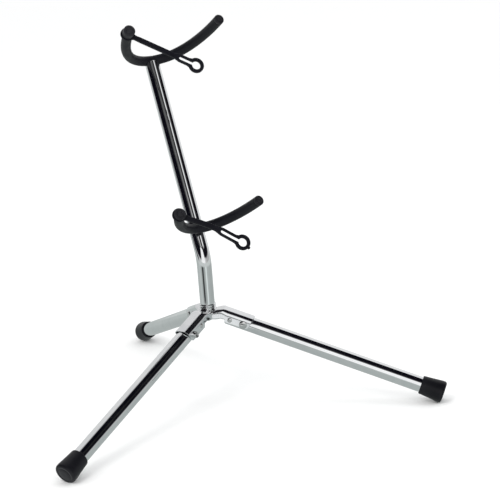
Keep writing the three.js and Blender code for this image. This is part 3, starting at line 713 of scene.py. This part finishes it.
def button_profile(radius, height, shank):
    """A button's outline: rounded rim, ring groove, raised middle."""
    ring, middle = radius * 0.70, radius * 0.46
    rim = arc(radius - 1.0, height - 1.0, 1.0, 0, QUARTER, 7)
    top = ([(ring, height + 0.05), (ring - 0.5, height - 0.75), (middle + 0.5, height - 0.75),
            (middle, height + 0.1), (middle * 0.8, height + 0.75), (0, height + 1.05)])
    head = soften([rim[-1]] + top, 0.5, 4)
    return [(0, -shank), (STUD_RADIUS, -shank), (STUD_RADIUS, 0)] + soften(
        [(STUD_RADIUS, 0), (radius, 0), (radius, height - 1.0)], 0.6, 4)[1:-1] + rim[:-1] + head


def make_buttons(level, yoke):
    shank = STRAP_THICKNESS + 2 * GAP + SHANK
    outline = button_profile(STUD_HEAD_RADIUS, yoke["head"], shank)
    stud = lathe(level + "_stud", outline, stud_place(yoke), 96, SOFT)
    publish(stud, "stand", PLASTIC, "black_plastic", level + "_strap_stud")
    outline = button_profile(COVER_RADIUS, CATCH_HEIGHT - GAP, SHANK)
    catch = lathe(level + "_catch", outline, catch_place(yoke), 96, SOFT)
    publish(catch, "stand", PLASTIC, "black_plastic", level + "_catch_button")


def strap_half(strap):
    """One edge of the strap, from the back of its eye to the tip of its loop."""
    half, band = STRAP_WIDTH / 2, SLOT_BAND / 2
    leave = 0.56
    join = math.asin(band / LOOP_RADIUS)
    eye = arc(0, 0, STRAP_EYE, math.pi, leave, 40)
    ex, ey = eye[-1]
    root = []
    for i in range(1, 13):
        t = i / 12
        a, b = (ex + 3.0, ey - 3.6), (STRAP_EYE + 5, half + 0.2)
        u = 1 - t
        root.append((u ** 3 * ex + 3 * u * u * t * a[0] + 3 * u * t * t * b[0] + t ** 3 * (STRAP_EYE + 15),
                     u ** 3 * ey + 3 * u * u * t * a[1] + 3 * u * t * t * b[1] + t ** 3 * half))
    run = [(STRAP_EYE + 15 + (strap["slot"] - 10 - STRAP_EYE - 15) * i / 14, half) for i in range(1, 15)]
    flare = []
    for i in range(1, 13):
        t = i / 12
        s = t * t * (3 - 2 * t)
        flare.append((strap["slot"] - 10 + 13 * t, half + (band - half) * s))
    start = strap["slot"] + 3
    stop = strap["length"] - LOOP_RADIUS * math.cos(join) - 3.5
    legs = [(start + (stop - start) * i / 8, band) for i in range(1, 9)]
    loop = arc(strap["length"], 0, LOOP_RADIUS, math.pi - join - 0.12, 0, 44)
    return eye + root + run + flare + legs + loop


def make_strap(level, yoke, strap):
    def bowed(x, y):
        if not 0 < x < strap["length"]:
            return x, y
        return x, y + strap["bow"] * math.sin(math.pi * x / strap["length"]) ** 2

    half = strap_half(strap)
    outline = [bowed(x, y) for x, y in half + [(x, -y) for x, y in reversed(half[1:-1])]]
    if strap["tab"]:
        outline = add_tab(outline, strap)
    slot_half, hole = SLOT_WIDTH / 2, LOOP_HOLE
    open_at = math.asin(slot_half / hole)
    key = arc(strap["length"], 0, hole, math.pi - open_at, -math.pi + open_at, 60)
    start = strap["slot"] + slot_half
    reach = strap["length"] - hole * math.cos(open_at)
    lower = [(reach + (start - reach) * i / 8, -slot_half) for i in range(1, 8)]
    back = arc(start, 0, slot_half, 1.5 * math.pi, QUARTER, 14)
    upper = [(start + (reach - start) * i / 8, slot_half) for i in range(1, 8)]
    keyhole = [bowed(x, y) for x, y in key + lower + back + upper]
    eye = circle(STUD_RADIUS + GAP, 40)

    curve = bpy.data.curves.new(level + "_strap_curve", "CURVE")
    curve.dimensions, curve.fill_mode = "2D", "BOTH"
    curve.bevel_depth, curve.bevel_resolution, curve.offset = STRAP_EDGE, 3, -STRAP_EDGE
    curve.extrude = STRAP_THICKNESS / 2 - STRAP_EDGE
    for loop in (outline, keyhole, eye):
        spline = curve.splines.new("POLY")
        spline.points.add(len(loop) - 1)
        for point, (x, y) in zip(spline.points, loop):
            point.co = (x, y, 0, 1)
        spline.use_cyclic_u = True
    temporary = bpy.data.objects.new(level + "_temporary", curve)
    bpy.context.scene.collection.objects.link(temporary)
    graph = bpy.context.evaluated_depsgraph_get()
    mesh = bpy.data.meshes.new_from_object(temporary.evaluated_get(graph))
    bpy.data.objects.remove(temporary)
    made = bpy.data.objects.new(level + "_band", mesh)
    bpy.context.scene.collection.objects.link(made)
    place = (stud_place(yoke) @ Matrix.Translation((0, 0, -GAP - STRAP_THICKNESS / 2))
             @ Matrix.Rotation(strap["swing"], 4, "Z"))
    mesh.transform(MM @ place)
    weld = made.modifiers.new("weld", "WELD")
    weld.merge_threshold = 1e-5
    bake(made)
    made.data.shade_smooth()
    made.data.set_sharp_from_angle(angle=SOFT)
    publish(made, "strap_" + level, STRAP_RUBBER, "black_rubber", level + "_strap")


def add_tab(outline, strap):
    """A small nib on the loop's far side, to pull the strap by."""
    cx, cy = strap["length"] + LOOP_RADIUS * 0.96, -LOOP_RADIUS * 0.35
    made, done = [], False
    for x, y in outline:
        near = math.hypot(x - cx, y - cy) < TAB_RADIUS
        if near and not done:
            toward = math.atan2(cy, cx - strap["length"])
            made += [(cx + TAB_RADIUS * math.cos(toward + a), cy + TAB_RADIUS * math.sin(toward + a))
                     for a in (1.7 - 3.4 * i / 12 for i in range(13))]
            done = True
        if not near:
            made.append((x, y))
    return made


# ----------------------------------------------------------------- fasteners


def make_screw(name, place, node, length):
    r, h = SCREW_HEAD, SCREW_HEIGHT
    dome = [(r * math.cos(a), h * 0.3 + h * 0.7 * math.sin(a)) for a in (QUARTER * i / 12 for i in range(12))]
    outline = [(0, -length), (SCREW_RADIUS, -length), (SCREW_RADIUS, 0), (r, 0)] + dome + [(0, h)]
    screw = lathe(name, outline, place, 64)
    for turn in (0, QUARTER):
        slot = [(-2.3, h + 1), (2.3, h + 1), (1.5, h - 1.5), (-1.5, h - 1.5)]
        spin = Matrix.Rotation(turn + 0.4, 4, "Z")
        bar = prism("recess", slot, -0.45, 0.45, place @ spin @ ACROSS_LEG)
        combine(screw, bar, "DIFFERENCE")
    screw.data.shade_smooth()
    screw.data.set_sharp_from_angle(angle=SHARP)
    publish(screw, "stand", PLATED, "plated_steel", node)


def make_fasteners():
    seat = YOKES["upper"]["along"] + COVER_RADIUS - SCREW_SINK
    washer = soften([(SCREW_RADIUS + GAP, 0), (WASHER_RADIUS, 0), (WASHER_RADIUS, WASHER),
                     (SCREW_RADIUS + GAP, WASHER)], 0.25, 3)
    made = lathe("yoke_washer", washer, TILT @ Matrix.Translation((0, 0, seat + GAP)), 64)
    publish(made, "stand", PLATED, "plated_steel", "upper_yoke_washer")
    top = TILT @ Matrix.Translation((0, 0, seat + 2 * GAP + WASHER))
    make_screw("yoke_screw", top, "upper_yoke_screw", SCREW_LENGTH)
    back = UPRIGHT_RADIUS + 2 * GAP + WASHER
    behind = (TILT @ Matrix.Translation((0, back, YOKES["lower"]["along"]))
              @ Matrix.Rotation(-QUARTER, 4, "X"))
    make_screw("yoke_bolt", behind, "lower_yoke_bolt", back + YOKES["lower"]["forward"])


make_upright()
make_collar()
make_hub()
for leg, leg_place in LEGS.items():
    make_rivets(leg, leg_place)
    make_leg(leg, leg_place)
    make_cap(leg, leg_place)
for level_name, yoke_data in YOKES.items():
    make_cover(level_name, yoke_data)
    make_buttons(level_name, yoke_data)
    make_strap(level_name, yoke_data, STRAPS[level_name])
make_fasteners()

# The small inside pieces and fasteners keep their CAD shapes and get materials; the hub bolt and the washers
# also get softened edges.
KEPT = {
    "hub_plug": (STEEL, "plain_steel"), "hub_washer": (STEEL, "plain_steel"),
    "hub_bolt": (PLATED, "plated_steel"), "upper_tube_plug": (PLASTIC, "black_plastic"),
    "lower_yoke_washer": (PLATED, "plated_steel"),
    "upper_yoke_rod": (STEEL, "plain_steel"), "lower_yoke_rod": (STEEL, "plain_steel"),
}
for node_name, (node_material, slot_name) in KEPT.items():
    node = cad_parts[node_name]
    node.data.materials.clear()
    node.data.materials.append(node_material)
    if node_name in ("hub_bolt", "hub_washer", "lower_yoke_washer"):
        bevel(node, 0.2, 2, 35)

# -------------------------------------------------------------------- studio
# Only polished surfaces see these bands: (bearing in degrees, value) pairs, 0 away from the camera.

# Height up to which the room is light, by bearing.
ROOM_EDGE = [
    (-180, 0.64), (-165, 0.60), (-152, 0.06), (-84, -0.04), (-64, 0.02), (-46, 0.90), (-30, 0.965),
    (0, 0.965), (30, 0.93), (50, 0.90), (60, 0.60), (66, 0.30), (76, 0.17), (130, 0.15), (160, 0.20),
    (170, 0.58), (180, 0.64),
]
# Brightness of the light part.
ROOM_LIGHT = [
    (-180, 1.0), (-156, 0.95), (-140, 0.60), (-70, 0.62), (-40, 0.70), (0, 0.74), (14, 0.82),
    (50, 0.80), (64, 0.66), (80, 0.42), (130, 0.42), (155, 0.70), (166, 1.0), (180, 1.0),
]
# Brightness of a band high in the dark part.
ROOM_STREAK = [
    (-180, 0.05), (-172, 0.13), (-152, 0.12), (-140, 0.01), (72, 0.01), (80, 0.035), (92, 0.015),
    (108, 0.015), (116, 0.06), (124, 0.10), (130, 0.95), (142, 0.95), (148, 0.12), (154, 0.02),
    (166, 0.02), (174, 0.10), (180, 0.05),
]
# Brightness of the floor's painted reflection glow, by bearing from the hub.
FLOOR_TRACKS = [
    (-180, 0.40), (-168, 0.36), (-160, 0.13), (-154, 0.01), (-147, 0.01), (-139, 0.22), (-128, 0.45),
    (-105, 0.55), (-75, 0.47), (-40, 0.50), (25, 0.52), (60, 0.42), (95, 0.42), (135, 0.46),
    (146, 0.50), (152, 0.80), (163, 0.82), (170, 0.50), (180, 0.40),
]
# Where a painted light patch lies in that glow before the stand.
FLOOR_PATCH = [
    (-180, 0.0), (-168, 0.0), (-160, 1.0), (-140, 1.0), (-132, 0.0),
]
# Where the glow of the far floor is painted dark, as shade.
FLOOR_SHADE = [
    (-180, 0.0), (-115, 0.0), (-105, 1.0), (-72, 1.0), (-62, 0.0),
]


def bearing(n, vector):
    """Which way a vector points round the stand: 0.5 away from the camera, 0.75 to its right."""
    flat = Vector((VIEW.x, VIEW.y, 0)).normalized()
    right = n.add("ShaderNodeVectorMath", {0: vector, 1: (flat.y, -flat.x, 0)}, operation="DOT_PRODUCT")
    away = n.add("ShaderNodeVectorMath", {0: vector, 1: tuple(flat)}, operation="DOT_PRODUCT")
    turn = n.add("ShaderNodeMath", {0: right.outputs["Value"], 1: away.outputs["Value"]},
                 operation="ARCTAN2").outputs[0]
    return remap(n, turn, -math.pi, math.pi, 0, 1)


def round_ramp(n, around, stops, tint=(1, 1, 1)):
    """Greys by bearing, from -180 degrees over 0 (away from the camera) to 180."""
    return ramp(n, around, [((degrees + 180) / 360, tuple(value * part for part in tint))
                            for degrees, value in stops])


def blend(n, factor, first, second):
    """A mix of two colours: the first at 0, the second at 1."""
    return n.add("ShaderNodeMix", {0: factor, 6: first, 7: second}, data_type="RGBA").outputs[2]


def make_world():
    """White to the camera and to dull surfaces; polished ones see a room that is dark overhead, to
    the left and to the right, and bright behind the stand and behind the camera."""
    world = bpy.data.worlds.new("studio")
    bpy.context.scene.world = world
    world.use_nodes = True
    n = Nodes(world.node_tree)
    direction = n.add("ShaderNodeTexCoord").outputs["Generated"]
    around = bearing(n, direction)
    height = n.add("ShaderNodeSeparateXYZ", {"Vector": direction}).outputs["Z"]
    limit = round_ramp(n, around, ROOM_EDGE)
    level = round_ramp(n, around, ROOM_LIGHT)
    under = n.add("ShaderNodeMath", {0: limit, 1: height}, operation="SUBTRACT").outputs[0]
    is_light = remap(n, under, -0.05, 0.03, 0, 1)
    streak = round_ramp(n, around, ROOM_STREAK)
    reach = n.add("ShaderNodeMath", {
        0: remap(n, height, 0.50, 0.64, 0, 1), 1: remap(n, height, 0.80, 0.74, 0, 1)},
        operation="MULTIPLY").outputs[0]
    dark = blend(n, reach, (0.003, 0.003, 0.006, 1), streak)
    room = blend(n, is_light, dark, level)
    path = n.add("ShaderNodeLightPath")
    white = n.add("ShaderNodeBackground", {"Color": (1, 1, 1, 1), "Strength": 1.08}).outputs[0]
    gloss = n.add("ShaderNodeBackground", {"Color": room, "Strength": 1.0}).outputs[0]
    mixed = n.add("ShaderNodeMixShader", {
        "Fac": path.outputs["Is Glossy Ray"], 1: white, 2: gloss}).outputs[0]
    n.add("ShaderNodeOutputWorld", {"Surface": mixed})


def floor_material():
    """Pale to the camera; polished surfaces see it glow as a painted reflection: a duller grey-green sheet,
    lighter further out, with a dark and a light track across it towards the camera."""
    material, n = new_material("pale_floor")
    pale = n.add("ShaderNodeBsdfPrincipled", {
        "Base Color": (0.93, 0.935, 0.935, 1), "Roughness": 0.9, "Specular IOR Level": 0.1}).outputs[0]
    coords = n.add("ShaderNodeTexCoord").outputs["Object"]
    foot = -HUB.translation / 1000
    moved = n.add("ShaderNodeMapping", {"Vector": coords, "Location": (foot.x, foot.y, 0)}).outputs["Vector"]
    distance = n.add("ShaderNodeVectorMath", {0: moved}, operation="LENGTH").outputs["Value"]
    sheet = ramp(n, remap(n, distance, 0, 2, 0, 1), [
        (0.0, (0.400, 0.430, 0.425)), (0.16, (0.425, 0.460, 0.450)), (0.30, (0.490, 0.525, 0.515)),
        (0.75, (0.590, 0.620, 0.610))])
    tracks = round_ramp(n, bearing(n, moved), FLOOR_TRACKS, (0.96, 1.03, 1.01))
    near = remap(n, distance, 0.46, 0.60, 0, 1)
    far = remap(n, distance, 1.6, 1.1, 0, 1)
    within = n.add("ShaderNodeMath", {0: near, 1: far}, operation="MULTIPLY").outputs[0]
    front = round_ramp(n, bearing(n, moved), FLOOR_PATCH)
    ring = n.add("ShaderNodeMath", {
        0: remap(n, distance, 0.34, 0.40, 0, 1), 1: remap(n, distance, 0.59, 0.55, 0, 1)},
        operation="MULTIPLY").outputs[0]
    patch = n.add("ShaderNodeMath", {0: ring, 1: front}, operation="MULTIPLY").outputs[0]
    edge = round_ramp(n, bearing(n, moved), FLOOR_SHADE)
    shade = n.add("ShaderNodeMath", {0: remap(n, distance, 1.8, 2.6, 0, 1), 1: edge},
                  operation="MULTIPLY").outputs[0]
    lit = blend(n, patch, blend(n, within, sheet, tracks), (0.86, 0.88, 0.88, 1))
    painted_reflection = blend(n, shade, lit, (0.03, 0.03, 0.04, 1))
    # Painted reflection: a glow that only glossy rays see, standing in for the lit floor with painted light
    # and shade.
    dull = n.add("ShaderNodeEmission", {"Color": painted_reflection, "Strength": 1.0}).outputs[0]
    path = n.add("ShaderNodeLightPath")
    mixed = n.add("ShaderNodeMixShader", {"Fac": path.outputs["Is Glossy Ray"], 1: pale, 2: dull}).outputs[0]
    n.add("ShaderNodeOutputMaterial", {"Surface": mixed})
    return material


def make_floor():
    """A flat sheet just under the feet, in metres."""
    reach = 12.0
    mesh = bpy.data.meshes.new("floor")
    z = cad_low.z - 0.0002
    mesh.from_pydata([(-reach, -reach, z), (reach, -reach, z), (reach, reach, z), (-reach, reach, z)],
                     [], [(0, 1, 2, 3)])
    floor = bpy.data.objects.new("floor", mesh)
    mesh.materials.append(floor_material())
    bpy.context.scene.collection.objects.link(floor)


def soft_light(name, place, target, size, power, color):
    """A lamp that dull surfaces feel and polished ones don't mirror."""
    data = bpy.data.lights.new(name, "AREA")
    data.shape, data.size, data.size_y = "RECTANGLE", size[0], size[1]
    data.energy, data.color = power, color
    light = bpy.data.objects.new(name, data)
    light.location = place
    light.visible_glossy = False
    light.rotation_mode = "QUATERNION"
    light.rotation_quaternion = (Vector(target) - Vector(place)).to_track_quat("-Z", "Y")
    bpy.context.scene.collection.objects.link(light)


make_world()
make_floor()
middle = (cad_low + cad_high) / 2
soft_light("key", middle + Vector((-1.6, -1.2, 2.2)), middle, (1.0, 1.0), 18, (1.0, 0.99, 0.97))
soft_light("fill", middle + Vector((1.9, -1.3, 1.2)), middle, (0.7, 1.2), 8, (0.97, 0.99, 1.0))

bpy.context.scene.view_settings.view_transform = "Standard"
